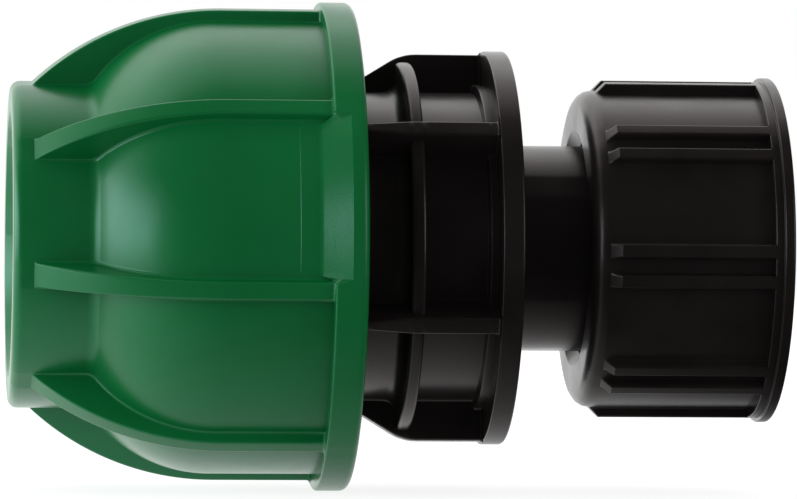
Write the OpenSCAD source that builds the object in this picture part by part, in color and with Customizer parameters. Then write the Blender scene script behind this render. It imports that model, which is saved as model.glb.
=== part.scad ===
// Pipe compression fitting with a swivel nut: pipe end on -X, threaded end on +X.
// The origin is on the flow axis, at the stop that the end of the pipe meets.

/* [Pipe socket] */
// Outside diameter of the pipe
pipe_d = 32; // [31:0.1:33]
// Radial room between the pipe and the socket
pipe_gap = 0.25; // [0.2:0.05:0.4]
// Depth of the plain socket, from its stop to the seal seat
socket_depth = 24.2; // [23:0.1:25]
// Thickness of the seal ring
seal_d = 4.2; // [3.8:0.1:4.3]

/* [Compression nut] */
// Length of the nut
nut_len = 44.9; // [44:0.1:46]
// Distance from the pipe stop back to the nut's open end
nut_back = 15.6; // [15:0.1:16]
// Radius of the plain sleeve at the pipe entry
sleeve_r = 21.6; // [21:0.05:22]
// Radius of the nut between its ribs
nut_r = 30.2; // [29.8:0.1:30.6]
// Radius of the dome that joins the sleeve to the nut
dome_r = 19; // [18:0.5:20]
// Radius of the nut's flange
flange_r = 32.45; // [32.2:0.05:33]
// Width of the nut's flange
flange_w = 4.3; // [3.5:0.1:5]
// Number of ribs on the nut
nut_ribs = 8; // [4:2:12]
// Thickness of a nut rib at its outer face
nut_rib_w = 2.3; // [1.8:0.1:3]
// Angle by which the nut is turned about the flow axis
nut_turn = 34.5; // [0:0.5:45]

/* [Body] */
// Radius of the body's barrel
barrel_r = 20.5; // [20.2:0.1:21]
// Root radius of the threaded mouth that the nut screws on
mouth_r = 24.6; // [24.2:0.1:24.8]
// Radius over the body's ribs
body_rib_r = 25.9; // [25.4:0.1:26.4]
// Radius of the body's flange
body_flange_r = 26.2; // [25.8:0.1:27]
// Width of the body's flange
body_flange_w = 2.9; // [2.4:0.1:3.4]
// Number of ribs on the body
body_ribs = 6; // [4:2:8]
// Thickness of a body rib at its outer face
body_rib_w = 2.2; // [1.6:0.1:2.6]
// Angle by which the body is turned about the flow axis
body_turn = 36.8; // [0:0.2:60]

/* [Tail and swivel nut] */
// Outside radius of the tail
tail_r = 13.67; // [13.4:0.01:14]
// Radius of the waterway
water_r = 10.5; // [9:0.1:11]
// Distance from the pipe stop to the swivel nut
swivel_at = 14.75; // [14:0.05:16]
// Length of the swivel nut
swivel_len = 26.15; // [25.5:0.05:27]
// Radius of the swivel nut between its ribs
swivel_r = 21.15; // [20.8:0.05:21.6]
// Radius over the swivel nut's ribs
swivel_rib_r = 22.5; // [22.2:0.1:22.8]
// Radius of the swivel nut's rim
rim_r = 23.05; // [22.9:0.05:23.5]
// Major radius of the one inch pipe thread in the swivel nut
thread_r = 16.62; // [16.5:0.01:16.7]
// Number of paired ribs on the swivel nut
rib_pairs = 8; // [4:2:10]
// Angle by which the swivel nut is turned about the flow axis
swivel_turn = 39.2; // [0:0.2:45]

/* [Hidden] */
$fn = 96;

// Running room between pieces that move on each other
run = 0.3;
// Overlap that fuses a rib with the wall that it stands on
sink = 1;
// Overshoot of a cut past the face that it opens
over = 1;
// Half the length that spans the whole fitting
reach = 200;

// Pipe entry, cone and thread bore of the compression nut, from the pipe stop
nut_end = -nut_back;
nut_start = nut_end - nut_len;
entry_r = pipe_d / 2 + 0.7;
entry_lead = 1;
cone_r0 = entry_r + 0.3;
cone_r1 = 25.6;
cone_x0 = nut_start + 6;
cone_x1 = cone_x0 + 15;
cone_out = 1;
nut_bore_r = 26.2;
relief_w = 1;
relief_h = 0.6;
dome_x = nut_end - 18.4;
dome_y = nut_r - dome_r;
blend_r = 2;
flange_x = nut_end - flange_w;
nut_edge = 1.2;
flange_edge = 0.9;
nut_rib_r = nut_r + 1.5;
nut_rib_arc = 35.5;
nut_rib_x = nut_start + 2.6;
rib_arc_x = nut_end - 17.4;
panel_x0 = flange_x - 1.8;
panel_x1 = flange_x + 2.2;
panel_angle = 38;
panel_turn = nut_turn - 180 / nut_ribs;
rib_draft = 2.5;

// Body stations, from the pipe stop
socket_r = pipe_d / 2 + pipe_gap;
seat_x = -socket_depth;
seal_gap = 0.1;
seal_r = pipe_d / 2 + 0.3 + seal_d / 2;
seat_r = seal_r + seal_d / 2 + seal_gap;
seat_lead = 1;
mouth_x = -34;
mouth_end = -17.6;
mouth_edge = 0.8;
shoulder_r = mouth_r - barrel_r;
collar_x = -9.35;
collar_w = 1.9;
collar_r = mouth_r;
collar_edge = 0.6;
collar_root = 1.6;
body_edge = 0.4;
step_x = 0.9;
step_slope = 0.3;
step_r = barrel_r + 1.1;
body_flange_x = 2.2;
ramp_x = -17;
ramp_slope = 32;
ramp_blend = 7;
level_x = -16.8;
level_tip = 0.8;

// Tail stations, from the pipe stop
shoulder_w = 3.5;
collar_gap = 0.2;
tail_collar_x = swivel_at + shoulder_w + collar_gap;
tail_collar_r = 15;
tail_end = tail_collar_x + 3;
washer_x = tail_end + 0.1;
washer_w = 2.5;
washer_r = thread_r - 0.25;
washer_hole_r = water_r + 0.5;
thread_x = washer_x + washer_w + 0.4;
chamber_r = thread_r + 0.6;
swivel_end = swivel_at + swivel_len;
swivel_edge = 2.1;
hole_r = tail_r + 0.7;
hole_lead = 1.4;
thread_lead = 1;
rim_w = 1.4;
rim_edge = 0.3;
land_w = 1.15;
land_r = swivel_rib_r - 0.1;
swivel_rib_x = swivel_at + 2.15;
swivel_rib_w = 1.8;
pair_angle = 10.3;

// Grip ring and thrust bush, from the pipe stop
grip_x0 = cone_x0 + 2;
grip_x1 = cone_x1 - 0.5;
grip_r = pipe_d / 2 + 0.25;
grip_land_r = 23.6;
grip_slit = 5;
grip_core = 5;
grip_wall = 2.2;
tooth_pitch = 1.8;
tooth_depth = 0.7;
bush_x = grip_x1 + 0.4;
bush_w = 3;
bush_r = pipe_d / 2 + 0.4;
bush_flange_r = 24.2;
bush_nose_r = seat_r - 0.35;
bush_end = -31;
bush_lead = 0.6;

function cone_at(x) = cone_r0 + (cone_r1 - cone_r0) * (x - cone_x0) / (cone_x1 - cone_x0);

// A profile drawn as [distance along the flow axis, radius] becomes a round solid on that axis
module turned() {
    rotate([0, 90, 0])
        rotate_extrude()
            mirror([1, -1])
                children();
}

// The same over a sector of the given width, centred on -Y
module turned_sector(width) {
    rotate([0, 90, 0])
        rotate_extrude(angle = width, start = -90 - width / 2)
            mirror([1, -1])
                children();
}

// Copies of a feature around the flow axis, the first one turned up from -Y by start
module around(count, start) {
    for (i = [0:count - 1])
        rotate([-start - i * 360 / count, 0, 0])
            children();
}

// A rib that stands towards -Y, from a side profile drawn as for turned().
// Its outer face at radius r is w wide, and its flanks widen by draft towards the axis.
module rib(w, r, draft = 0) {
    half = w / 2;
    root = half + r * tan(draft);
    intersection() {
        rotate([180, 0, 0])
            translate([0, 0, -r])
                linear_extrude(2 * r)
                    children();
        translate([-reach, 0, 0])
            rotate([0, 90, 0])
                linear_extrude(2 * reach)
                    polygon([
                        [-half, -2 * r],
                        [half, -2 * r],
                        [half, -r],
                        [root, 0],
                        [-root, 0],
                        [-half, -r]
                    ]);
    }
}

// Profile of a round land from x0 to x1, rounded by edge at its x0 corner
module front_rounded(x0, x1, r, edge) {
    translate([x0, 0])
        square([x1 - x0, r - edge]);
    translate([x0 + edge, 0])
        square([x1 - x0 - edge, r]);
    translate([x0 + edge, r - edge])
        circle(edge);
}

// Profile of a round band of width w, rounded by edge at both outer corners
module band(x, w, r, edge) {
    front_rounded(x, x + w - edge, r, edge);
    translate([x, 0])
        square([w, r - edge]);
    translate([x + w - edge, r - edge])
        circle(edge);
}

// Profile of a quarter-round hollow of radius r, from x on a round wall of radius wall_r.
// It rises towards -X, or towards +X where side is -1.
module hollow(x, wall_r, r, side = 1) {
    difference() {
        translate([side > 0 ? x - r : x, wall_r - sink])
            square([r, r + sink]);
        translate([x, wall_r + r])
            circle(r);
    }
}

// Profile of the hollow blend where the dome leaves the sleeve
module dome_blend() {
    rise = sleeve_r + blend_r - dome_y;
    back = sqrt((dome_r + blend_r) ^ 2 - rise ^ 2);
    near = dome_r / (dome_r + blend_r);
    centre = [dome_x - back, sleeve_r + blend_r];
    foot = [dome_x - back * near, dome_y + rise * near];
    difference() {
        polygon([[centre.x, sleeve_r - sink], centre, foot, [foot.x, sleeve_r - sink]]);
        translate(centre)
            circle(blend_r);
    }
}

// Outer profile of the compression nut without its ribs
module nut_outline() {
    front_rounded(nut_start, dome_x, sleeve_r, nut_edge);
    dome_blend();
    intersection() {
        translate([dome_x, dome_y])
            circle(dome_r);
        translate([nut_start, 0])
            square([dome_x - nut_start, nut_r]);
    }
    translate([dome_x, 0])
        square([nut_end - dome_x, nut_r]);
    band(flange_x, flange_w, flange_r, flange_edge);
}

// Inner profile of the compression nut: pipe entry, grip cone, thread bore and relieved mouth
module nut_hollow() {
    polygon([
        [nut_start - entry_lead, 0],
        [nut_start - entry_lead, entry_r + 2 * entry_lead],
        [nut_start + entry_lead, entry_r],
        [cone_x0, entry_r],
        [cone_x0, cone_r0],
        [cone_x1, cone_r1],
        [cone_x1 + cone_out, nut_bore_r],
        [nut_end - relief_w, nut_bore_r],
        [nut_end + relief_w, nut_bore_r + 2 * relief_h],
        [nut_end + relief_w, 0]
    ]);
}

// Side profile of a nut rib: an arc that rises from the sleeve and runs level into the flange
module nut_rib_side() {
    intersection() {
        translate([rib_arc_x, nut_rib_r - nut_rib_arc])
            circle(nut_rib_arc);
        translate([nut_rib_x, 0])
            square([rib_arc_x - nut_rib_x, nut_rib_r]);
    }
    translate([rib_arc_x, 0])
        square([flange_x + sink - rib_arc_x, nut_rib_r]);
}

// Side profile of the bevelled panel that fills the corner between the nut's wall and its flange
module panel_side() {
    polygon([
        [panel_x0, nut_r - sink],
        [panel_x0, nut_r],
        [panel_x1, flange_r],
        [panel_x1, nut_r - sink]
    ]);
}

// Side profile of the flange corner that the bevelled panel takes away
module panel_cut_side() {
    top = flange_r + over;
    polygon([[panel_x0, nut_r], [panel_x0, top], [panel_x1, top], [panel_x1, flange_r]]);
}

module compression_nut() {
    color("seagreen")
        difference() {
            union() {
                difference() {
                    turned()
                        nut_outline();
                    around(2, panel_turn)
                        turned_sector(panel_angle)
                            panel_cut_side();
                }
                around(2, panel_turn)
                    turned_sector(panel_angle)
                        panel_side();
                around(nut_ribs, nut_turn)
                    rib(nut_rib_w, nut_rib_r, rib_draft)
                        nut_rib_side();
            }
            turned()
                nut_hollow();
        }
}

// Split ring whose cone the nut squeezes, so that its teeth hold the pipe against being pulled out
module grip_ring() {
    teeth = floor((grip_x1 - grip_x0 - tooth_pitch) / tooth_pitch);
    tooth_x = [for (i = [0:teeth - 1]) grip_x1 - (teeth - i + 0.5) * tooth_pitch];
    land_x = cone_x0 + (grip_land_r + run - cone_r0) * (cone_x1 - cone_x0) / (cone_r1 - cone_r0);
    color("ivory")
        difference() {
            turned()
                difference() {
                    polygon([
                        [grip_x0, grip_r],
                        [grip_x0, cone_at(grip_x0) - run],
                        [land_x, grip_land_r],
                        [grip_x1, grip_land_r],
                        [grip_x1, grip_r]
                    ]);
                    for (x = tooth_x)
                        polygon([
                            [x, grip_r - over],
                            [x, grip_r + tooth_depth],
                            [x + tooth_pitch, grip_r],
                            [x + tooth_pitch, grip_r - over]
                        ]);
                    translate([grip_x1 - grip_core, grip_r + grip_wall])
                        square([grip_core + over, grip_land_r - grip_r - 2 * grip_wall]);
                }
            translate([grip_x0 - over, -grip_slit / 2, 0])
                cube([grip_x1 - grip_x0 + 2 * over, grip_slit, grip_land_r + over]);
        }
}

// Flanged bush that the grip ring pushes into the body to press the seal
module thrust_bush() {
    color("dimgray")
        turned()
            polygon([
                [bush_x, bush_r + bush_lead],
                [bush_x, bush_flange_r],
                [bush_x + bush_w, bush_flange_r],
                [bush_x + bush_w, bush_nose_r],
                [bush_end - bush_lead, bush_nose_r],
                [bush_end, bush_nose_r - bush_lead],
                [bush_end, bush_r],
                [bush_x + bush_lead, bush_r]
            ]);
}

// Seal ring in its seat at the bottom of the body's mouth
module seal_ring() {
    color("black")
        turned()
            translate([seat_x - seal_d / 2 - seal_gap, seal_r])
                circle(seal_d / 2);
}

// Outer profile of the body without its ribs
module body_outline() {
    polygon([
        [mouth_x, 0],
        [mouth_x, mouth_r - mouth_edge],
        [mouth_x + mouth_edge, mouth_r],
        [mouth_end, mouth_r],
        [mouth_end, barrel_r],
        [step_x, barrel_r],
        [step_x + step_slope, step_r],
        [body_flange_x + sink, step_r],
        [body_flange_x + sink, 0]
    ]);
    hollow(mouth_end + shoulder_r, barrel_r, shoulder_r);
    hollow(collar_x - collar_root, barrel_r, collar_root, -1);
    band(collar_x, collar_w, collar_r, collar_edge);
    band(body_flange_x, body_flange_w, body_flange_r, body_edge);
    translate([body_flange_x, 0])
        square([tail_end - body_flange_x, tail_r]);
    band(tail_collar_x, tail_end - tail_collar_x, tail_collar_r, body_edge);
}

// Inner profile of the body: seal seat, pipe socket, pipe stop and waterway
module body_hollow() {
    polygon([
        [mouth_x - seat_lead, 0],
        [mouth_x - seat_lead, seat_r + 2 * seat_lead],
        [mouth_x + seat_lead, seat_r],
        [seat_x, seat_r],
        [seat_x, socket_r],
        [0, socket_r],
        [0, water_r],
        [tail_end + over, water_r],
        [tail_end + over, 0]
    ]);
}

// Side profile of a ramped body rib: a slope up from the nut's side, rounded over into a level run
module ramped_rib_side() {
    run_x = ramp_x + (body_rib_r - barrel_r) / tan(ramp_slope);
    set_back = ramp_blend * tan(ramp_slope / 2);
    top = [run_x, body_rib_r];
    low = top - set_back * [cos(ramp_slope), sin(ramp_slope)];
    high = top + [set_back, 0];
    polygon([
        [ramp_x, barrel_r - sink],
        [ramp_x, barrel_r],
        low,
        high,
        [body_flange_x + sink, body_rib_r],
        [body_flange_x + sink, barrel_r - sink]
    ]);
    intersection() {
        translate([high.x, body_rib_r - ramp_blend])
            circle(ramp_blend);
        polygon([low, top, high]);
    }
}

// A body rib that keeps its height up to the nut, and narrows to a tip there
module level_rib() {
    run_end = body_flange_x + sink;
    intersection() {
        rib(body_rib_w, body_rib_r, rib_draft / 2)
            translate([level_x, barrel_r - sink])
                square([run_end - level_x, body_rib_r - barrel_r + sink]);
        rotate([90, 0, 0])
            linear_extrude(2 * reach, center = true)
                polygon([
                    [level_x, -level_tip / 2],
                    [run_end, -body_rib_w],
                    [run_end, body_rib_w],
                    [level_x, level_tip / 2]
                ]);
    }
}

module body() {
    ramped_turn = body_turn + 360 / body_ribs;
    color("black")
        difference() {
            union() {
                turned()
                    body_outline();
                around(2, ramped_turn)
                    rib(body_rib_w, body_rib_r, rib_draft / 2)
                        ramped_rib_side();
                for (i = [1:body_ribs / 2 - 1])
                    around(2, ramped_turn + i * 360 / body_ribs)
                        level_rib();
            }
            turned()
                body_hollow();
        }
}

// Outer profile of the swivel nut without its ribs
module swivel_outline() {
    front_rounded(swivel_at, swivel_end - rim_w / 2, swivel_r, swivel_edge);
    translate([swivel_end - rim_w - land_w, 0])
        square([land_w + rim_w / 2, land_r]);
    band(swivel_end - rim_w, rim_w, rim_r, rim_edge);
}

// Inner profile of the swivel nut: tail hole, washer chamber and thread bore
module swivel_hollow() {
    polygon([
        [swivel_at - over, 0],
        [swivel_at - over, hole_r + hole_lead + over],
        [swivel_at + hole_lead, hole_r],
        [swivel_at + shoulder_w, hole_r],
        [swivel_at + shoulder_w, chamber_r],
        [thread_x, chamber_r],
        [thread_x, thread_r],
        [swivel_end - thread_lead, thread_r],
        [swivel_end + thread_lead, thread_r + 2 * thread_lead],
        [swivel_end + thread_lead, 0]
    ]);
}

// Side profile of a swivel nut rib, with its front end sloped
module swivel_rib_side() {
    slope = swivel_rib_r - swivel_r;
    polygon([
        [swivel_rib_x, swivel_r - sink],
        [swivel_rib_x, swivel_r],
        [swivel_rib_x + slope, swivel_rib_r],
        [swivel_end - rim_w + rim_edge, swivel_rib_r],
        [swivel_end - rim_w + rim_edge, swivel_r - sink]
    ]);
}

module swivel_nut() {
    color("black")
        difference() {
            union() {
                turned()
                    swivel_outline();
                for (side = [-1, 1])
                    around(rib_pairs, swivel_turn + side * pair_angle / 2)
                        rib(swivel_rib_w, swivel_rib_r)
                            swivel_rib_side();
            }
            turned()
                swivel_hollow();
        }
}

// Flat washer held in the swivel nut's chamber, against the end of the tail
module washer() {
    color("dimgray")
        turned()
            translate([washer_x, washer_hole_r])
                square([washer_w, washer_r - washer_hole_r]);
}

compression_nut();
grip_ring();
thrust_bush();
seal_ring();
body();
swivel_nut();
washer();
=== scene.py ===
import bpy
import math
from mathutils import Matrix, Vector, kdtree


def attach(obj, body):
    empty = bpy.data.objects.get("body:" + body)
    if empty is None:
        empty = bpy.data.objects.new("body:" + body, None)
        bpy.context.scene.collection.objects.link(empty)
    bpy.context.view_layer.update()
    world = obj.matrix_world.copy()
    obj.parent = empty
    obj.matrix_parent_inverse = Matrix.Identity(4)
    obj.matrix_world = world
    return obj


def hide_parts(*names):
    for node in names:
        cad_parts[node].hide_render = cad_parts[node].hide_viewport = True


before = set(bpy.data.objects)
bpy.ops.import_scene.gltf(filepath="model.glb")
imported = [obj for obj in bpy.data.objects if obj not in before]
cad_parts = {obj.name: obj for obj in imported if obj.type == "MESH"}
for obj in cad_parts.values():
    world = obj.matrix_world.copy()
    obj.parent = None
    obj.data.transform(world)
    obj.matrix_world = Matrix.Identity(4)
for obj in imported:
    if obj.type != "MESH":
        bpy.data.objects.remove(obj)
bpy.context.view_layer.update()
mm = 0.001
mergeGap = 0.001 * mm
flowAxis = (1, 0, 0)
crisp, fine, soft, full = 0.1, 0.2, 0.3, 0.4  # edge roundings that the mouldings share, in mm
sink = 0.1                                    # rib faces are looked for from this far under the wall
ringColumns = 96
shading = {"mouldDeg": 42, "threadDeg": 35, "threadEdgeDeg": 20}
print("frame loaded:", sorted(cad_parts))


# small helpers for work about the flow axis
def startPiece():
    bpy.ops.object.select_all(action="DESELECT")


def pickOnly(piece):
    startPiece()
    piece.select_set(True)
    bpy.context.view_layer.objects.active = piece


def onAxis(x, r, turn):  # the place at x along the axis and r out from it, turned up from the front
    return Vector((x, -r * math.cos(turn), r * math.sin(turn)))


def offAxis(place):  # a place's x, radius and turn
    return place.x, math.hypot(place.y, place.z), math.atan2(place.z, -place.y)


def wrapTurn(turn, period):  # turn from the nearest of the features that repeat every period
    return (turn + period / 2) % period - period / 2


def arcPoints(centre, r, fromDeg, toDeg, steps):
    turns = [math.radians(fromDeg + (toDeg - fromDeg) * i / steps) for i in range(steps + 1)]
    return [(centre[0] + r * math.cos(t), centre[1] + r * math.sin(t)) for t in turns]


def runPoints(start, end, steps):  # points along a straight run, both ends included
    gap = Vector(end) - Vector(start)
    return [tuple(Vector(start) + gap * i / steps) for i in range(steps + 1)]


def roundCorner(before, corner, after, r, steps=4):  # the arc that rounds a corner of an outline
    corner = Vector(corner)
    back = (Vector(before) - corner).normalized()
    on = (Vector(after) - corner).normalized()
    half = back.angle(on) / 2
    centre = corner + (back + on).normalized() * r / math.sin(half)
    first = corner + back * r / math.tan(half) - centre
    last = corner + on * r / math.tan(half) - centre
    fromTurn = math.atan2(first.y, first.x)
    sweep = wrapTurn(math.atan2(last.y, last.x) - fromTurn, 2 * math.pi)
    return arcPoints(centre, r, math.degrees(fromTurn), math.degrees(fromTurn + sweep), steps)


def softOutline(corners, steps=4):  # outline of (x, radius, rounding) corners, joined end to end
    outline = []
    for i, (x, r, rounding) in enumerate(corners):
        if rounding:
            after = corners[(i + 1) % len(corners)]
            outline += roundCorner(corners[i - 1][:2], (x, r), after[:2], rounding, steps)
        else:
            outline.append((x, r))
    return outline


# a ring of points is set on the outline, then spun about the flow axis
def spinOutline(name, outline, columns, turn, sweep=2 * math.pi):
    startPiece()
    bpy.ops.mesh.primitive_circle_add(vertices=len(outline), radius=mm)
    piece = bpy.context.object
    piece.name = name
    piece.data.name = name
    for vertex, (x, r) in zip(piece.data.vertices, outline):
        vertex.co = onAxis(x * mm, r * mm, turn)
    bpy.ops.object.mode_set(mode="EDIT")
    bpy.ops.mesh.select_all(action="SELECT")
    bpy.ops.mesh.spin(steps=columns, angle=sweep, center=(0, 0, 0), axis=flowAxis)
    tidyMesh()
    bpy.ops.object.mode_set(mode="OBJECT")
    return piece


def tidyMesh():  # in edit mode: doubles merged, slivers dissolved, faces turned outwards
    bpy.ops.mesh.select_mode(type="VERT")
    bpy.ops.mesh.select_all(action="SELECT")
    bpy.ops.mesh.remove_doubles(threshold=mergeGap)
    bpy.ops.mesh.dissolve_degenerate(threshold=mergeGap)
    bpy.ops.mesh.normals_make_consistent(inside=False)


def edgeMiddle(mesh, edge):
    return sum((mesh.vertices[end].co for end in edge.vertices), Vector()) / 2


def tidyWeighted(piece):  # where edges merge, the larger bevel weight stays
    mesh = piece.data
    weights = mesh.attributes["bevel_weight_edge"].data
    weighted = [edge for edge in mesh.edges if weights[edge.index].value > 0]
    kept = [weights[edge.index].value for edge in weighted]
    places = kdtree.KDTree(len(weighted))
    for i, edge in enumerate(weighted):
        places.insert(edgeMiddle(mesh, edge), i)
    places.balance()
    bpy.ops.object.mode_set(mode="EDIT")
    tidyMesh()
    bpy.ops.object.mode_set(mode="OBJECT")
    weights = mesh.attributes["bevel_weight_edge"].data
    for edge in mesh.edges:
        found = places.find_range(edgeMiddle(mesh, edge), 2 * mergeGap)
        weights[edge.index].value = max((kept[i] for _, i, _ in found), default=0)


def weighLoop(piece, weightAt):  # bevel weight along the edge of the faces picked in edit mode
    bpy.ops.mesh.region_to_loop()
    bpy.ops.object.mode_set(mode="OBJECT")
    mesh = piece.data
    weights = mesh.attributes.get("bevel_weight_edge")
    if weights is None:
        weights = mesh.attributes.new("bevel_weight_edge", "FLOAT", "EDGE")
    for edge in mesh.edges:
        if edge.select:
            weights.data[edge.index].value = weightAt(edgeMiddle(mesh, edge).x / mm)


def pickFaces(piece, wanted):
    bpy.ops.object.mode_set(mode="EDIT")
    bpy.ops.mesh.select_mode(type="FACE")
    bpy.ops.mesh.select_all(action="DESELECT")
    bpy.ops.object.mode_set(mode="OBJECT")
    for index in wanted:
        piece.data.polygons[index].select = True
    bpy.ops.object.mode_set(mode="EDIT")


def raiseRibs(piece, ribs, columns):  # the column of faces under each rib is pulled out to the rib's top
    pickOnly(piece)
    period = 2 * math.pi / ribs["count"]
    column = 2 * math.pi / columns
    shift = ribs.get("shift", 0)
    space = ribs.get("space", 0)
    slack = 0.01

    def awayFrom(turn, centre):
        return wrapTurn(turn - centre, period)

    def flankTurn(x, r):
        return math.asin(ribs["halfAt"](x / mm, r / mm) / (r / mm))

    for vertex in piece.data.vertices:  # the meridians beside a rib move onto its flanks
        x, r, turn = offAxis(vertex.co)
        away = awayFrom(turn, ribs["turn"] - shift)
        past = abs(away) - column / 2
        if abs(past) < column / 8:
            vertex.co = onAxis(x, r, turn - away + shift + math.copysign(flankTurn(x, r), away))
        elif 0 < past and abs(away) < space:  # the others share the space that is left
            flank = flankTurn(x, r)
            share = (past / (space - column / 2)) ** ribs.get("crowd", 1)
            flank += share * (space - flank)
            vertex.co = onAxis(x, r, turn - away + math.copysign(flank, away))
    ribFaces = []
    for face in piece.data.polygons:
        x, r, turn = offAxis(face.center)
        beside = abs(awayFrom(turn, ribs["turn"])) < column / 4
        inRun = ribs["fromX"] - slack < x / mm < ribs["toX"] + slack
        outward = face.normal.dot(onAxis(0, 1, turn)) > -slack
        onWall = ribs["wallR"] - slack < r / mm < ribs["topAt"](x / mm)
        if beside and inRun and outward and onWall:
            ribFaces.append(face.index)
    pickFaces(piece, ribFaces)
    weighLoop(piece, ribs["rootWeight"])
    pickFaces(piece, ribFaces)
    bpy.ops.mesh.extrude_region_move()
    bpy.ops.object.mode_set(mode="OBJECT")
    topFaces = [face.index for face in piece.data.polygons if face.select]
    for vertex in piece.data.vertices:
        if vertex.select:
            x, r, turn = offAxis(vertex.co)
            away = awayFrom(turn, ribs["turn"])
            top = ribs["topAt"](x / mm) * mm
            vertex.co = onAxis(x, top, turn - away + math.copysign(flankTurn(x, top), away))
    pickFaces(piece, topFaces)
    weighLoop(piece, ribs["topWeight"])
    tidyWeighted(piece)


def fadedWeight(weight, fromX, fadeX):  # bevel weight that grows where a rib rises from its wall
    return lambda x: weight * min(1, max(0.05, (x - fromX) / fadeX))


def draftedHalf(width, outerR, draftDeg):  # half the width of a rib that widens towards its root
    lean = math.tan(math.radians(draftDeg))
    return lambda x, r: width / 2 + max(0, outerR - r) * lean


def finishEdges(piece, width, segments=3):  # weighted edges rounded, flats kept flat in the shading
    pickOnly(piece)
    bevel = piece.modifiers.new("edges", "BEVEL")
    bevel.limit_method = "WEIGHT"
    bevel.width = width * mm
    bevel.segments = segments
    bevel.use_clamp_overlap = False
    bpy.ops.object.modifier_apply(modifier=bevel.name)
    bpy.ops.object.shade_smooth_by_angle(angle=math.radians(shading["mouldDeg"]))
    flats = piece.modifiers.new("flats", "WEIGHTED_NORMAL")
    flats.keep_sharp = True
    bpy.ops.object.modifier_apply(modifier=flats.name)
    print("made", piece.name, "with", len(piece.data.polygons), "faces")


# the domed compression nut, sizes in mm from the pipe stop
nut = {
    "start": -60.5, "end": -15.6,           # pipe entry and open mouth
    "sleeveR": 21.6, "sleeveEdge": 1.2, "wallR": 30.2, "wallRows": (-29.0, -23.3),
    "flangeX": -19.9, "flangeR": 32.44, "flangeEdge": (0.35, 1.0),
    "domeX": -34.0, "domeR": 19.0,          # where the dome turns level, and its arc
    "blendR": 2.0,                          # hollow between sleeve and dome
    "entryR": 16.7, "coneX": (-54.5, -39.5), "coneR": (17.0, 25.6), "boreR": 26.2,
    "lead": 1.0, "mouthLead": 0.6,          # bevels at the pipe entry and the open mouth
    "ribArcX": -33.0, "ribArcR": 35.5, "ribR": 31.7, "ribWidth": 2.3, "ribDraft": 2.5, "ribFade": 4.0,
    "columns": 128, "ribCount": 8, "turn": math.radians(34.5),
    "panelX": (-21.7, -17.7),               # bevelled panel between two ribs, front and back
    "padX": -24.3, "padRise": 0.06,         # edge of the mould insert beside the panel
    "footRun": 0.25,                        # rows this close to the panel's foot keep it flat
}
ribDrop = nut["ribArcR"] - nut["ribR"] + nut["sleeveR"]
ribSpan = math.sqrt(nut["ribArcR"] ** 2 - ribDrop ** 2)
nut["ribX"] = nut["ribArcX"] - ribSpan      # where the rib leaves the sleeve


def nutRibTop(x):
    if x > nut["ribArcX"]:
        return nut["ribR"]
    return nut["ribR"] - nut["ribArcR"] + math.sqrt(nut["ribArcR"] ** 2 - (x - nut["ribArcX"]) ** 2)


def nutOutline():
    domeY = nut["wallR"] - nut["domeR"]
    rise = nut["sleeveR"] + nut["blendR"] - domeY
    blendX = nut["domeX"] - math.sqrt((nut["domeR"] + nut["blendR"]) ** 2 - rise ** 2)
    footDeg = math.degrees(math.atan2(rise, blendX - nut["domeX"]))
    lead = nut["lead"]
    entry = softOutline([
        (nut["start"] + lead, nut["entryR"], 0),
        (nut["start"], nut["entryR"] + lead, soft),
        (nut["start"], nut["sleeveR"], nut["sleeveEdge"]),
        (blendX, nut["sleeveR"], 0)], 6)[1:-1]
    sleeve = runPoints((nut["ribX"], nut["sleeveR"]), (blendX, nut["sleeveR"]), 8)
    blendAt = (blendX, nut["sleeveR"] + nut["blendR"])
    blend = arcPoints(blendAt, nut["blendR"], 270, footDeg + 180, 6)[1:]
    dome = arcPoints((nut["domeX"], domeY), nut["domeR"], footDeg, 90, 22)[1:]
    wallX = (nut["ribArcX"], nut["wallRows"][0], nut["padX"], nut["padX"] + nut["padRise"],
             nut["wallRows"][1], nut["panelX"][0] - nut["footRun"])
    wall = [(x, nut["wallR"]) for x in wallX]
    flange = softOutline([
        (nut["flangeX"], nut["wallR"], 0),
        (nut["flangeX"], nut["wallR"] + nut["footRun"], 0),
        (nut["flangeX"], nut["ribR"], 0),
        (nut["flangeX"], nut["flangeR"], nut["flangeEdge"][0]),
        (nut["end"], nut["flangeR"], nut["flangeEdge"][1]),
        (nut["end"], nut["boreR"] + nut["mouthLead"], fine),
        (nut["end"] - lead, nut["boreR"], 0)])
    hollow = [(nut["coneX"][1] + lead, nut["boreR"]), (nut["coneX"][1], nut["coneR"][1]),
              (nut["coneX"][0], nut["coneR"][0]), (nut["coneX"][0], nut["entryR"]),
              (nut["start"] + lead, nut["entryR"])]
    return entry + sleeve + blend + dome + wall + flange + hollow


def bevelPanel(piece):  # the flange's near face leans back over one rib space, front and back
    column = 2 * math.pi / nut["columns"]
    space = 2 * math.pi / nut["ribCount"]
    middle = nut["turn"] - space / 2
    half = space / 2 - column * 0.9  # stops short of the ribs' flanks
    slack = 0.05
    for vertex in piece.data.vertices:
        x, r, turn = offAxis(vertex.co)
        if abs(wrapTurn(turn - middle, math.pi)) > half:
            continue
        rise = (r / mm - nut["wallR"]) / (nut["flangeR"] - nut["wallR"])
        onFace = -slack < x / mm - nut["flangeX"] < nut["flangeEdge"][0] + slack and rise > -slack
        onPad = abs(rise) < slack and nut["padX"] + slack < x / mm < nut["flangeX"]
        if onFace:
            leanX = nut["panelX"][0] + (nut["panelX"][1] - nut["panelX"][0]) * rise
            vertex.co.x = leanX * mm
        if onPad or (onFace and rise < slack):
            vertex.co = onAxis(vertex.co.x, r + nut["padRise"] * mm, turn)


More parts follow.
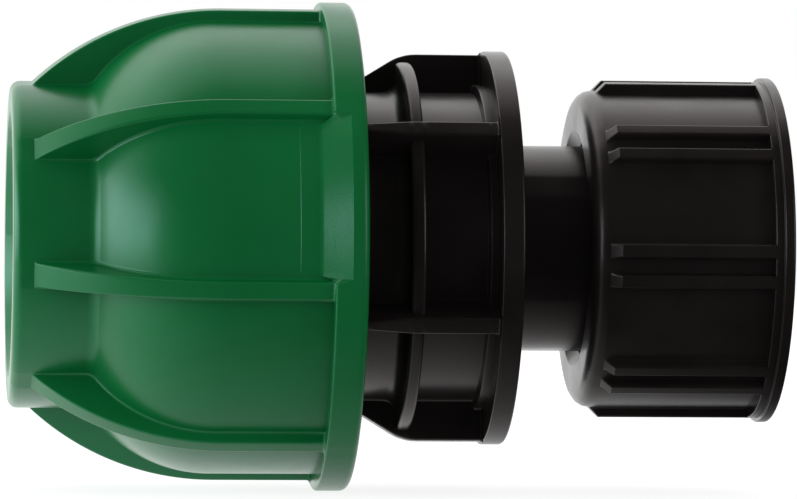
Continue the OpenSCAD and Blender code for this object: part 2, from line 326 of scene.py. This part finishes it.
clampNut = spinOutline("clampNut", nutOutline(), nut["columns"], nut["turn"] + math.pi / nut["columns"])
raiseRibs(clampNut, {
    "count": nut["ribCount"], "turn": nut["turn"], "space": math.pi / nut["ribCount"], "crowd": 1.5,
    "halfAt": draftedHalf(nut["ribWidth"], nut["ribR"], nut["ribDraft"]), "topAt": nutRibTop,
    "wallR": nut["sleeveR"] - sink, "fromX": nut["ribX"], "toX": nut["flangeX"],
    "rootWeight": fadedWeight(1.0, nut["ribX"], nut["ribFade"]),
    "topWeight": fadedWeight(0.8, nut["ribX"], nut["ribFade"]),
}, nut["columns"])
bevelPanel(clampNut)
finishEdges(clampNut, full)
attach(clampNut, "clamp_nut")
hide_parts("compression_nut")


# the body: threaded mouth, ribbed barrel, flange and tail in one
trunk = {
    "start": -34.0, "mouthEnd": -17.6, "mouthR": 24.6, "mouthLead": 0.8, "mouthEdge": 0.15,
    "barrelR": 20.5, "barrelRows": ((-12.7, -11.9), (-7.0, -6.35, -4.0, -2.0)),
    "collarX": (-9.35, -7.45), "collarR": 24.6, "collarRoot": 1.6, "collarEdge": 0.6,
    "stepX": (0.9, 1.2), "stepR": 21.6,
    "flangeX": (2.2, 5.1), "flangeR": 26.2, "flangeEdge": 0.25,
    "tailR": 13.67, "tailRoot": 0.6, "tailCollarX": 18.45, "tailCollarR": 15.0, "end": 21.45,
    "seatR": 20.6, "seatLead": 1.0, "seatX": -24.2, "socketR": 16.25, "waterR": 10.5,
    "rampX": -17.0, "rampDeg": 32.0, "rampBlend": 7.0,
    "levelX": -16.8, "levelTip": 0.8,       # a level rib's tip, and its width there
    "levelPast": 1.0,                       # its taper is drawn to this far past the flange's face
    "ribR": 25.9, "ribWidth": 2.2, "ribDraft": 1.25, "ribFade": 3.0,
    "columns": 120, "ribCount": 6, "turn": math.radians(36.8),
}
rampTan = math.tan(math.radians(trunk["rampDeg"]))
rampTopX = trunk["rampX"] + (trunk["ribR"] - trunk["barrelR"]) / rampTan
rampBack = trunk["rampBlend"] * math.tan(math.radians(trunk["rampDeg"] / 2))
rampLevelX = rampTopX + rampBack


def trunkRibTop(x):
    if x > rampLevelX:
        return trunk["ribR"]
    if x < rampTopX - rampBack * math.cos(math.radians(trunk["rampDeg"])):
        return trunk["barrelR"] + (x - trunk["rampX"]) * rampTan
    return trunk["ribR"] - trunk["rampBlend"] + math.sqrt(trunk["rampBlend"] ** 2 - (x - rampLevelX) ** 2)


# the shoulder is a quarter-round hollow from the mouth down to the barrel
shoulderR = trunk["mouthR"] - trunk["barrelR"]
shoulderAt = (trunk["mouthEnd"] + shoulderR, trunk["mouthR"])
rampFall = rampTan * (shoulderAt[0] - trunk["rampX"]) - shoulderR
slopeSum = 1 + rampTan ** 2
ribFoot = shoulderAt[0] - (rampTan * rampFall + math.sqrt(  # where a ramped rib leaves the shoulder
    (rampTan * rampFall) ** 2 - slopeSum * (rampFall ** 2 - shoulderR ** 2))) / slopeSum


def shoulderDeg(x):
    return 360 - math.degrees(math.acos((x - shoulderAt[0]) / shoulderR))


def shoulderRun(fromX, toX, steps):
    run = arcPoints(shoulderAt, shoulderR, shoulderDeg(fromX), shoulderDeg(toX), steps)
    return [(x, r, 0) for x, r in run[1:]]


def trunkOutline():
    barrel = trunk["barrelR"]
    return softOutline([
        (trunk["start"] + trunk["seatLead"], trunk["seatR"], 0),
        (trunk["start"], trunk["seatR"] + trunk["seatLead"], fine),
        (trunk["start"], trunk["mouthR"] - trunk["mouthLead"], fine),
        (trunk["start"] + trunk["mouthLead"], trunk["mouthR"], fine),
        (trunk["mouthEnd"], trunk["mouthR"], trunk["mouthEdge"])]
        + shoulderRun(trunk["mouthEnd"], trunk["levelX"], 4)
        + shoulderRun(trunk["levelX"], ribFoot, 3)
        + shoulderRun(ribFoot, shoulderAt[0], 5)
        + [(x, barrel, 0) for x in trunk["barrelRows"][0]] + [
        (trunk["collarX"][0], barrel, trunk["collarRoot"]),
        (trunk["collarX"][0], trunk["collarR"], trunk["collarEdge"]),
        (trunk["collarX"][1], trunk["collarR"], trunk["collarEdge"]),
        (trunk["collarX"][1], barrel, 0)]
        + [(x, barrel, 0) for x in trunk["barrelRows"][1]] + [
        (trunk["stepX"][0], barrel, crisp),
        (trunk["stepX"][1], trunk["stepR"], fine),
        (trunk["flangeX"][0], trunk["stepR"], 0),
        (trunk["flangeX"][0], trunk["ribR"], 0),
        (trunk["flangeX"][0], trunk["flangeR"], trunk["flangeEdge"]),
        (trunk["flangeX"][1], trunk["flangeR"], full),
        (trunk["flangeX"][1], trunk["tailR"], trunk["tailRoot"]),
        (trunk["tailCollarX"], trunk["tailR"], fine),
        (trunk["tailCollarX"], trunk["tailCollarR"], full),
        (trunk["end"], trunk["tailCollarR"], full),
        (trunk["end"], trunk["waterR"], soft),
        (0.0, trunk["waterR"], soft),
        (0.0, trunk["socketR"], fine),
        (trunk["seatX"], trunk["socketR"], soft),
        (trunk["seatX"], trunk["seatR"], fine)])


fittingBody = spinOutline("fittingBody", trunkOutline(), trunk["columns"],
                          trunk["turn"] + math.pi / trunk["columns"])
trunkHalf = draftedHalf(trunk["ribWidth"], trunk["ribR"], trunk["ribDraft"])


def levelHalf(x, r):  # a level rib narrows to a tip at the nut
    run = trunk["flangeX"][0] + trunk["levelPast"] - trunk["levelX"]
    taper = (trunk["ribWidth"] - trunk["levelTip"] / 2) / run
    return min(trunkHalf(x, r), max(0, x - trunk["levelX"]) * taper + trunk["levelTip"] / 2)


def trunkRootWeight(x):  # no fillet where a rib crosses the collar
    crossing = trunk["collarX"][0] - sink < x < trunk["collarX"][1] + sink
    return 0 if crossing else fadedWeight(0.8, ribFoot, trunk["ribFade"])(x)


trunkRib = {
    "count": 2, "space": math.pi / trunk["ribCount"],
    "wallR": trunk["barrelR"] - sink, "toX": trunk["flangeX"][0],
    "rootWeight": trunkRootWeight, "topWeight": fadedWeight(0.7, ribFoot, trunk["ribFade"]),
}
ribStep = 2 * math.pi / trunk["ribCount"]
raiseRibs(fittingBody, trunkRib | {
    "turn": trunk["turn"] + ribStep, "halfAt": trunkHalf, "topAt": trunkRibTop, "fromX": ribFoot,
}, trunk["columns"])
for place in (0, 2):
    raiseRibs(fittingBody, trunkRib | {
        "turn": trunk["turn"] + place * ribStep, "halfAt": levelHalf, "topAt": lambda x: trunk["ribR"],
        "fromX": trunk["levelX"],
    }, trunk["columns"])
finishEdges(fittingBody, full)
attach(fittingBody, "fitting_body")
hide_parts("body")


# the swivel nut with its paired ribs
cap = {
    "start": 14.75, "end": 40.9, "wallR": 21.15, "wallRows": (25.0, 31.0, 36.0), "edge": 2.1,
    "rimX": 39.5, "rimR": 23.05, "landX": 38.35, "landEdge": 0.2,
    "holeR": 14.37, "holeLead": 1.4, "shoulderX": 18.25, "chamberR": 17.22,
    "threadX": 24.45, "threadR": 16.62, "threadLead": 1.0,
    "ribX": 16.9, "ribR": 22.5, "ribWidth": 1.8, "ribFade": 1.4,
    "columns": 104, "pairCount": 8, "turn": math.radians(39.2), "pairTurn": math.radians(10.3),
}


def capRibTop(x):
    return min(cap["ribR"], cap["wallR"] + max(0, x - cap["ribX"]))


def capOutline():
    return softOutline([
        (cap["start"] + cap["holeLead"], cap["holeR"], fine),
        (cap["start"], cap["holeR"] + cap["holeLead"], soft),
        (cap["start"], cap["wallR"], cap["edge"]),
        (cap["ribX"], cap["wallR"], 0),
        (cap["ribX"] + cap["ribR"] - cap["wallR"], cap["wallR"], 0)]
        + [(x, cap["wallR"], 0) for x in cap["wallRows"]] + [
        (cap["landX"], cap["wallR"], 0),
        (cap["landX"], cap["ribR"], cap["landEdge"]),
        (cap["rimX"], cap["ribR"], crisp),
        (cap["rimX"], cap["rimR"], fine),
        (cap["end"], cap["rimR"], full),
        (cap["end"], cap["threadR"] + cap["threadLead"], fine),
        (cap["end"] - cap["threadLead"], cap["threadR"], crisp),
        (cap["threadX"], cap["threadR"], crisp),
        (cap["threadX"], cap["chamberR"], crisp),
        (cap["shoulderX"], cap["chamberR"], fine),
        (cap["shoulderX"], cap["holeR"], fine)])


def capEdge(weight):  # bevel weight along a rib, none where it joins the land
    grown = fadedWeight(weight, cap["ribX"], cap["ribFade"])
    return lambda x: grown(x) if x < cap["landX"] - sink / 2 else 0


capColumn = 2 * math.pi / cap["columns"]
capNut = spinOutline("capNut", capOutline(), cap["columns"], cap["turn"])
for side in (-1, 1):
    raiseRibs(capNut, {
        "count": cap["pairCount"], "turn": cap["turn"] + side * cap["pairTurn"] / 2,
        "shift": side * (cap["pairTurn"] / 2 - 1.5 * capColumn),
        "halfAt": lambda x, r: cap["ribWidth"] / 2, "topAt": capRibTop,
        "wallR": cap["wallR"] - sink, "fromX": cap["ribX"], "toX": cap["landX"] + cap["landEdge"],
        "rootWeight": capEdge(0.7), "topWeight": capEdge(0.8),
    }, cap["columns"])
finishEdges(capNut, full)
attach(capNut, "coupling_nut")
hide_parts("swivel_nut")


# threads: a ridge wound on or in a round wall, its ends faded into the wall
def windRidge(name, ridge):
    startPiece()
    profile = [(-ridge["rootWidth"] / 2, ridge["rootR"]), (-ridge["crestWidth"] / 2, ridge["crestR"]),
               (ridge["crestWidth"] / 2, ridge["crestR"]), (ridge["rootWidth"] / 2, ridge["rootR"])]
    bpy.ops.mesh.primitive_circle_add(vertices=len(profile), radius=mm)
    piece = bpy.context.object
    piece.name = name
    piece.data.name = name
    for vertex, (x, r) in zip(piece.data.vertices, profile):
        vertex.co = onAxis((ridge["fromX"] + x) * mm, r * mm, ridge["turn"])
    turns = (ridge["toX"] - ridge["fromX"]) / ridge["pitch"]
    steps = round(turns * ridge["perTurn"])
    wind = piece.modifiers.new("wind", "SCREW")
    wind.axis = "X"
    wind.angle = turns * 2 * math.pi
    wind.screw_offset = (ridge["toX"] - ridge["fromX"]) * mm
    wind.steps = steps
    wind.render_steps = steps
    bpy.ops.object.modifier_apply(modifier=wind.name)
    fade = ridge["perTurn"] / 8
    tip = 0.15  # share of the height that the ends keep
    for vertex in piece.data.vertices:
        x, r, turn = offAxis(vertex.co)
        row = vertex.index // len(profile)
        height = tip + (1 - tip) * min(1, row / fade, (steps - row) / fade)
        vertex.co = onAxis(x, ridge["rootR"] * mm + (r - ridge["rootR"] * mm) * height, turn)
    bpy.ops.object.mode_set(mode="EDIT")
    bpy.ops.mesh.select_all(action="SELECT")
    bpy.ops.mesh.fill_holes(sides=0)
    tidyMesh()
    bpy.ops.object.mode_set(mode="OBJECT")
    bevel = piece.modifiers.new("edges", "BEVEL")
    bevel.limit_method = "ANGLE"
    bevel.angle_limit = math.radians(shading["threadEdgeDeg"])
    bevel.width = ridge["edge"] * mm
    bevel.segments = 2
    bpy.ops.object.modifier_apply(modifier=bevel.name)
    bpy.ops.object.shade_smooth_by_angle(angle=math.radians(shading["threadDeg"]))
    print("made", piece.name, "with", len(piece.data.polygons), "faces")
    return piece


bodyThread = windRidge("bodyThread", {
    "fromX": -32.0, "toX": -19.6, "pitch": 6.0, "turn": 0.0, "perTurn": 96, "edge": 0.25,
    "rootR": 24.4, "crestR": 25.85, "rootWidth": 3.0, "crestWidth": 1.8})
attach(bodyThread, "fitting_body")
nutThread = windRidge("nutThread", {
    "fromX": -35.0, "toX": -20.2, "pitch": 6.0, "turn": 0.0, "perTurn": 96, "edge": 0.2,
    "rootR": 26.4, "crestR": 24.95, "rootWidth": 2.4, "crestWidth": 1.4})
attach(nutThread, "clamp_nut")
capThread = windRidge("capThread", {
    "fromX": 25.6, "toX": 38.9, "pitch": 2.309, "turn": 0.0, "perTurn": 96, "edge": 0.12,
    "rootR": 16.7, "crestR": 15.15, "rootWidth": 2.1, "crestWidth": 0.45})
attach(capThread, "coupling_nut")


# the rings inside, each spun from its own outline
def plainRing(name, outline, body, node):
    ring = spinOutline(name, outline, ringColumns, 0)
    finishEdges(ring, crisp)
    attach(ring, body)
    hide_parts(node)
    return ring


bush = {
    "start": -39.6, "flangeEnd": -36.6, "end": -31.0, "lead": 0.6,
    "boreR": 16.4, "flangeR": 24.2, "noseR": 20.25,
}
thrustBush = plainRing("thrustBush", softOutline([
    (bush["start"] + bush["lead"], bush["boreR"], fine),
    (bush["start"], bush["boreR"] + bush["lead"], fine),
    (bush["start"], bush["flangeR"], soft),
    (bush["flangeEnd"], bush["flangeR"], soft),
    (bush["flangeEnd"], bush["noseR"], soft),
    (bush["end"] - bush["lead"], bush["noseR"], fine),
    (bush["end"], bush["noseR"] - bush["lead"], fine),
    (bush["end"], bush["boreR"], fine)]), "grip_set", "thrust_bush")
seal = {"at": (-26.4, 18.4), "thick": 4.2, "steps": 32}
sealRound = arcPoints(seal["at"], seal["thick"] / 2, 0, 360, seal["steps"])[:-1]
sealRing = plainRing("sealRing", sealRound, "fitting_body", "seal_ring")
disc = {"start": 21.55, "end": 24.05, "innerR": 11.0, "outerR": 16.37}
flatWasher = plainRing("flatWasher", softOutline([
    (disc["start"], disc["innerR"], fine),
    (disc["start"], disc["outerR"], fine),
    (disc["end"], disc["outerR"], fine),
    (disc["end"], disc["innerR"], fine)]), "coupling_nut", "washer")


# the split grip ring: teeth towards the pipe, cone outside, a slit on top
grip = {
    "start": -52.5, "end": -40.0, "boreR": 16.25, "coneR": 17.847, "landX": -42.465, "landR": 23.6,
    "toothPitch": 1.8, "toothDepth": 0.7, "teeth": 5, "coreDepth": 5.0, "coreR": (18.45, 21.4),
    "slit": 5.0, "columns": 90,
}


def gripOutline():
    teeth = [(grip["end"] - grip["toothPitch"] / 2, grip["boreR"], 0)]
    for i in range(grip["teeth"]):  # steep on the side that holds the pipe back
        toothX = teeth[0][0] - (i + 1) * grip["toothPitch"]
        teeth += [(toothX, grip["boreR"] + grip["toothDepth"], crisp), (toothX, grip["boreR"], crisp / 2)]
    return softOutline([
        (grip["start"], grip["boreR"], fine),
        (grip["start"], grip["coneR"], soft),
        (grip["landX"], grip["landR"], soft),
        (grip["end"], grip["landR"], soft),
        (grip["end"], grip["coreR"][1], fine),
        (grip["end"] - grip["coreDepth"], grip["coreR"][1], soft),
        (grip["end"] - grip["coreDepth"], grip["coreR"][0], soft),
        (grip["end"], grip["coreR"][0], fine),
        (grip["end"], grip["boreR"], fine)] + teeth, 3)


slitTurn = math.asin(grip["slit"] / 2 / grip["landR"])
gripSweep = 2 * math.pi - 2 * slitTurn
gripRing = spinOutline("gripRing", gripOutline(), grip["columns"], math.pi / 2 - slitTurn, gripSweep)
for vertex in gripRing.data.vertices:  # both faces of the slit are set parallel
    x, r, turn = offAxis(vertex.co)
    past = (turn - math.pi / 2) % (2 * math.pi) - slitTurn
    edge = math.asin(grip["slit"] * mm / 2 / r)
    vertex.co = onAxis(x, r, math.pi / 2 + edge + past * (2 * math.pi - 2 * edge) / gripSweep)
pickOnly(gripRing)
bpy.ops.object.mode_set(mode="EDIT")
bpy.ops.mesh.select_all(action="SELECT")
bpy.ops.mesh.fill_holes(sides=0)
tidyMesh()
bpy.ops.object.mode_set(mode="OBJECT")
finishEdges(gripRing, crisp)
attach(gripRing, "grip_set")
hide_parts("grip_ring")


# moulded plastics and rubber, all in object coordinates
def mouldedMaterial(name, look):
    material = bpy.data.materials.new(name)
    material.use_nodes = True
    nodes = material.node_tree.nodes
    links = material.node_tree.links
    shader = nodes["Principled BSDF"]
    shader.inputs["IOR"].default_value = look["ior"]
    shader.inputs["Specular Tint"].default_value = (*look.get("glint", (1, 1, 1)), 1)
    coords = nodes.new("ShaderNodeTexCoord")
    low, high = 0.3, 0.7  # where most of the noise lies

    def noise(scale, detail, roughness):
        texture = nodes.new("ShaderNodeTexNoise")
        texture.inputs["Scale"].default_value = scale
        texture.inputs["Detail"].default_value = detail
        texture.inputs["Roughness"].default_value = roughness
        links.new(coords.outputs["Object"], texture.inputs["Vector"])
        return texture.outputs["Fac"]

    tone = nodes.new("ShaderNodeValToRGB")  # slow drift of the pigment
    tone.color_ramp.elements[0].position = low
    tone.color_ramp.elements[0].color = (*look["dark"], 1)
    tone.color_ramp.elements[1].position = high
    tone.color_ramp.elements[1].color = (*look["light"], 1)
    links.new(noise(look["toneScale"], detail=4, roughness=0.55), tone.inputs["Fac"])
    links.new(tone.outputs["Color"], shader.inputs["Base Color"])
    gloss = nodes.new("ShaderNodeMapRange")  # flow marks and handling in the sheen
    gloss.inputs["From Min"].default_value = low
    gloss.inputs["From Max"].default_value = high
    gloss.inputs["To Min"].default_value = look["rough"][0]
    gloss.inputs["To Max"].default_value = look["rough"][1]
    links.new(noise(look["glossScale"], detail=6, roughness=0.6), gloss.inputs["Value"])
    links.new(gloss.outputs["Result"], shader.inputs["Roughness"])
    grain = nodes.new("ShaderNodeBump")  # fine grain of the mould
    grain.inputs["Strength"].default_value = look["grain"]
    grain.inputs["Distance"].default_value = look["grainDepth"]
    links.new(noise(look["grainScale"], detail=3, roughness=0.5), grain.inputs["Height"])
    links.new(grain.outputs["Normal"], shader.inputs["Normal"])
    return material


def dress(pieces, material):
    for piece in pieces:
        piece.data.materials.clear()
        piece.data.materials.append(material)


greenPlastic = mouldedMaterial("greenPlastic", {
    "dark": (0.001, 0.125, 0.0275), "light": (0.0016, 0.148, 0.034), "toneScale": 60, "ior": 1.49,
    "glint": (0.62, 1.0, 0.92), "rough": (0.28, 0.35), "glossScale": 140,
    "grain": 0.25, "grainDepth": 0.00004, "grainScale": 2600})
blackPlastic = mouldedMaterial("blackPlastic", {
    "dark": (0.0092, 0.0066, 0.0066), "light": (0.0142, 0.0108, 0.0108), "toneScale": 80, "ior": 1.49,
    "glint": (1.0, 0.92, 0.88), "rough": (0.27, 0.35), "glossScale": 160,
    "grain": 0.25, "grainDepth": 0.00004, "grainScale": 2600})
whitePlastic = mouldedMaterial("whitePlastic", {
    "dark": (0.72, 0.70, 0.63), "light": (0.78, 0.76, 0.70), "toneScale": 70, "ior": 1.48,
    "rough": (0.32, 0.42), "glossScale": 150, "grain": 0.2, "grainDepth": 0.00003, "grainScale": 2600})
bushPlastic = mouldedMaterial("bushPlastic", {
    "dark": (0.010, 0.010, 0.011), "light": (0.016, 0.016, 0.017), "toneScale": 80, "ior": 1.49,
    "rough": (0.36, 0.46), "glossScale": 160, "grain": 0.25, "grainDepth": 0.00004, "grainScale": 2600})
sealRubber = mouldedMaterial("sealRubber", {
    "dark": (0.006, 0.006, 0.006), "light": (0.011, 0.011, 0.011), "toneScale": 120, "ior": 1.5,
    "rough": (0.52, 0.66), "glossScale": 220, "grain": 0.4, "grainDepth": 0.00005, "grainScale": 1800})
dress([clampNut, nutThread], greenPlastic)
dress([fittingBody, bodyThread, capNut, capThread], blackPlastic)
dress([gripRing], whitePlastic)
dress([thrustBush], bushPlastic)
dress([sealRing, flatWasher], sealRubber)
print("materials set:", len(bpy.data.materials))


# studio: pale floor and a white surround, soft lamps left, right and above
studio = {
    "floorZ": -32.45 * mm, "floorR": 3.0, "floorTone": 0.30,
    "floorLift": (0.86, 1.0), "litR": (0.15, 0.8),  # the lift grows where the lamps no longer reach
    # reflections are white to the left and behind, and fade out towards the camera
    "floor": {"ambient": 0.30, "sheen": 1.5, "side": (-0.6, 0.8, 0), "fade": (-0.042, 0.04)},
    "world": {"ambient": 0.55, "sheen": 1.5, "side": (-0.5, 0.87, 0), "fade": (-0.1, 0.75)},
}


def joined(nodes, links, operation, first, second):
    node = nodes.new("ShaderNodeMath")
    node.operation = operation
    for socket, value in zip(node.inputs, (first, second)):
        if isinstance(value, float):
            socket.default_value = value
        else:
            links.new(value, socket)
    return node.outputs["Value"]


def ramped(nodes, links, value, start, end):
    ramp = nodes.new("ShaderNodeMapRange")
    ramp.interpolation_type = "SMOOTHSTEP"
    for socket, limit in zip(("From Min", "From Max", "To Min", "To Max"), start + end):
        ramp.inputs[socket].default_value = limit
    links.new(value, ramp.inputs["Value"])
    return ramp.outputs["Result"]


def surroundLevel(nodes, links, coords, part, cameraLevel):  # what each kind of ray finds there
    path = nodes.new("ShaderNodeLightPath")
    away = nodes.new("ShaderNodeVectorMath")
    away.operation = "DOT_PRODUCT"
    away.inputs[1].default_value = part["side"]
    links.new(coords, away.inputs[0])
    glossy, through = path.outputs["Is Glossy Ray"], path.outputs["Is Transmission Ray"]
    mirrored = joined(nodes, links, "MAXIMUM", glossy, through)
    sheen = ramped(nodes, links, away.outputs["Value"], part["fade"], (0.0, part["sheen"]))
    seen = joined(nodes, links, "MULTIPLY", path.outputs["Is Camera Ray"], cameraLevel)
    shown = joined(nodes, links, "MULTIPLY", mirrored, sheen)
    lit = joined(nodes, links, "MULTIPLY", path.outputs["Is Diffuse Ray"], part["ambient"])
    return joined(nodes, links, "ADD", joined(nodes, links, "ADD", seen, shown), lit)


bpy.ops.mesh.primitive_circle_add(vertices=64, radius=studio["floorR"], fill_type="NGON")
floor = bpy.context.object
floor.name = "floor"
floor.location.z = studio["floorZ"]
floorPaint = bpy.data.materials.new("floorPaint")
floorPaint.use_nodes = True
floorPaint.cycles.emission_sampling = "NONE"  # found only by rays that know their kind
floorNodes = floorPaint.node_tree.nodes
floorLinks = floorPaint.node_tree.links
floorShader = floorNodes["Principled BSDF"]
floorPath = floorNodes.new("ShaderNodeLightPath")
floorTone = joined(floorNodes, floorLinks, "SUBTRACT", 1.0, floorPath.outputs["Is Glossy Ray"])
floorTone = joined(floorNodes, floorLinks, "MULTIPLY", floorTone, studio["floorTone"])
floorLinks.new(floorTone, floorShader.inputs["Base Color"])
floorShader.inputs["Roughness"].default_value = 0.9
floorShader.inputs["Specular IOR Level"].default_value = 0.0
floorShader.inputs["Emission Color"].default_value = (1, 1, 1, 1)
floorPlace = floorNodes.new("ShaderNodeTexCoord").outputs["Object"]
floorAway = floorNodes.new("ShaderNodeVectorMath")
floorAway.operation = "LENGTH"
floorLinks.new(floorPlace, floorAway.inputs[0])
floorLift = ramped(floorNodes, floorLinks, floorAway.outputs["Value"], studio["litR"], studio["floorLift"])
floorLinks.new(surroundLevel(floorNodes, floorLinks, floorPlace, studio["floor"], floorLift),
               floorShader.inputs["Emission Strength"])
floor.data.materials.append(floorPaint)


def softLight(name, light):
    bpy.ops.object.light_add(type="AREA", location=light["at"])
    lamp = bpy.context.object
    lamp.name = name
    lamp.data.shape = "RECTANGLE"
    lamp.data.size = light["size"][0]
    lamp.data.size_y = light["size"][1]
    lamp.data.energy = light["power"]
    lamp.data.color = light["tint"]
    aim = Vector(light["aim"]) - Vector(light["at"])
    lamp.rotation_euler = aim.to_track_quat("-Z", "Y").to_euler()


softLight("leftLight", {
    "at": (-0.78, -0.10, 0.10), "aim": (-0.02, 0, 0), "size": (0.95, 0.34),
    "power": 4.6, "tint": (0.87, 0.95, 1.0)})
softLight("rightLight", {
    "at": (0.70, -0.42, 0.10), "aim": (0.01, 0, 0), "size": (0.20, 0.5),
    "power": 1.2, "tint": (1.0, 1.0, 1.0)})
softLight("topLight", {
    "at": (-0.05, 0.25, 0.70), "aim": (-0.01, 0, 0), "size": (1.2, 0.6),
    "power": 1.75, "tint": (1.0, 0.98, 0.95)})

view = {
    "target": (-8.7 * mm, 0, -0.3 * mm), "distance": 0.7, "yawDeg": 5.9, "rollDeg": -0.45,
    "focalPx": 5255, "frameW": 797, "sensor": 36,
}
yaw = math.radians(view["yawDeg"])
stand = Vector(view["target"]) - view["distance"] * Vector((math.sin(yaw), math.cos(yaw), 0))
bpy.ops.object.camera_add(location=stand, rotation=(math.pi / 2, math.radians(view["rollDeg"]), -yaw))
camera = bpy.context.object
camera.data.sensor_width = view["sensor"]
camera.data.lens = view["focalPx"] / view["frameW"] * view["sensor"]
bpy.context.scene.camera = camera
bpy.context.scene.view_settings.view_transform = "Standard"

world = bpy.data.worlds.new("surround")
bpy.context.scene.world = world
world.use_nodes = True
world.cycles.sampling_method = "NONE"
worldNodes = world.node_tree.nodes
worldLinks = world.node_tree.links
surround = worldNodes["Background"]
surround.inputs["Color"].default_value = (1, 1, 1, 1)
worldPlace = worldNodes.new("ShaderNodeTexCoord").outputs["Generated"]
worldLinks.new(surroundLevel(worldNodes, worldLinks, worldPlace, studio["world"], 1.0),
               surround.inputs["Strength"])
print("studio set")
